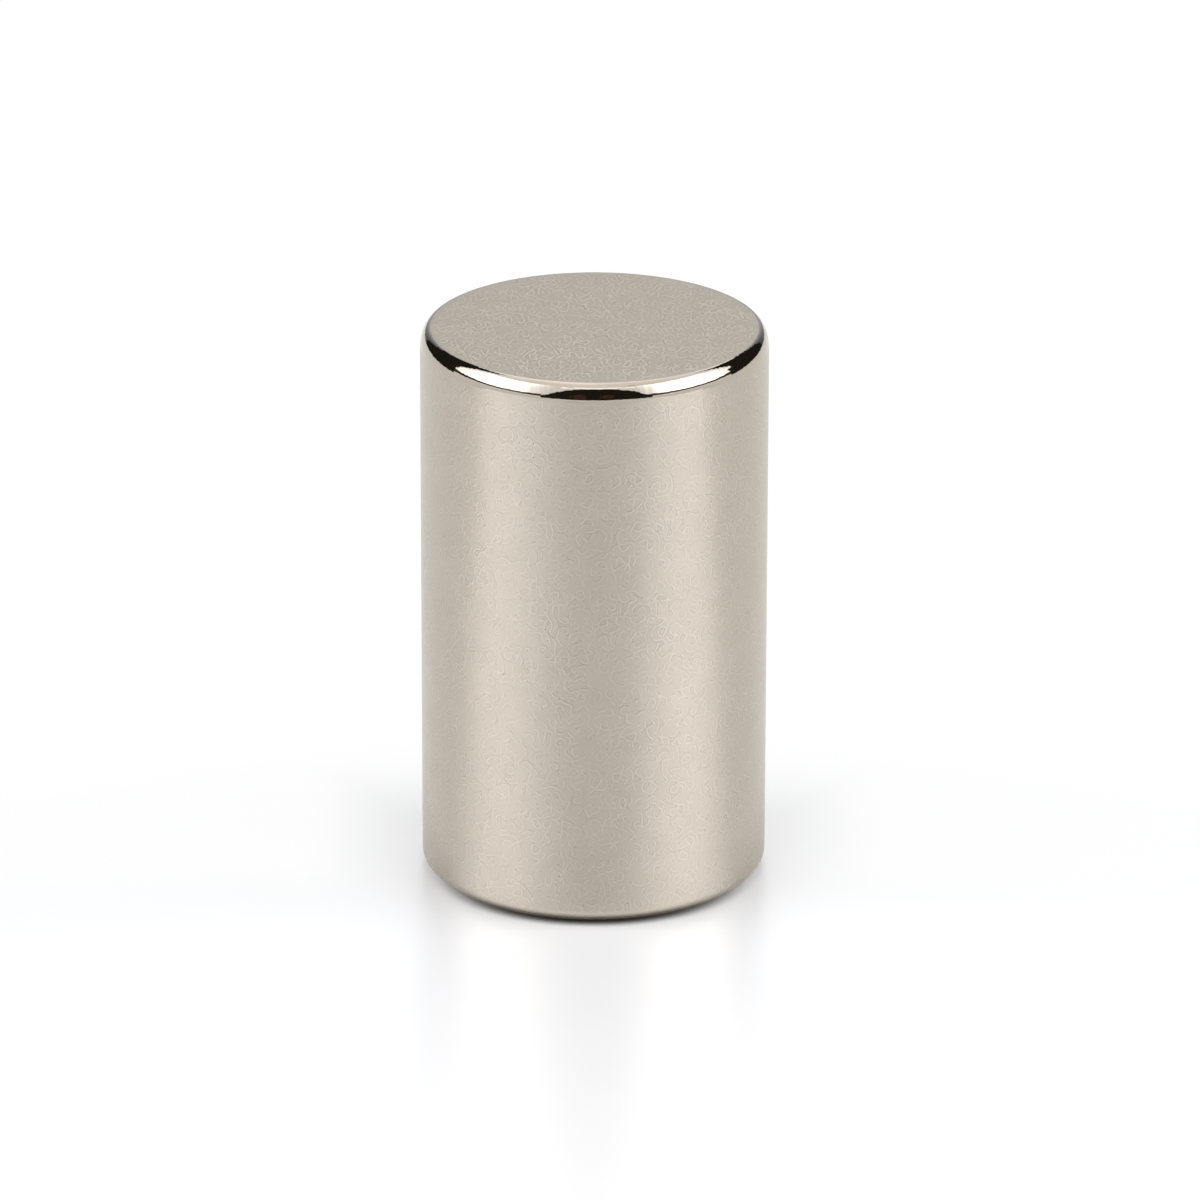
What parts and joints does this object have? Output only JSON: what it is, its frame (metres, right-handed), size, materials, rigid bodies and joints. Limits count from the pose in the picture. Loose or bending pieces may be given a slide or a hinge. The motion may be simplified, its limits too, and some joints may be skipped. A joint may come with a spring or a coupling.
{
  "type": "cylinder magnet",
  "caption": "Solid cylinder magnet in satin nickel plate, with flat pole faces and a polished rounded edge between each face and the straight side.",
  "frame": {"origin": "middle of the lower pole face, which is the face that the magnet stands on", "axes": "+Z along the axis of the body, from the lower pole face to the upper one; the body is round, so X and Y point anywhere across it"},
  "size_m": [0.012, 0.012, 0.0198],
  "materials": {
    "nickel_plate": "satin"
  },
  "bodies": {
    "root": {"magnet_body": "nickel_plate"}
  },
  "joints": []
}
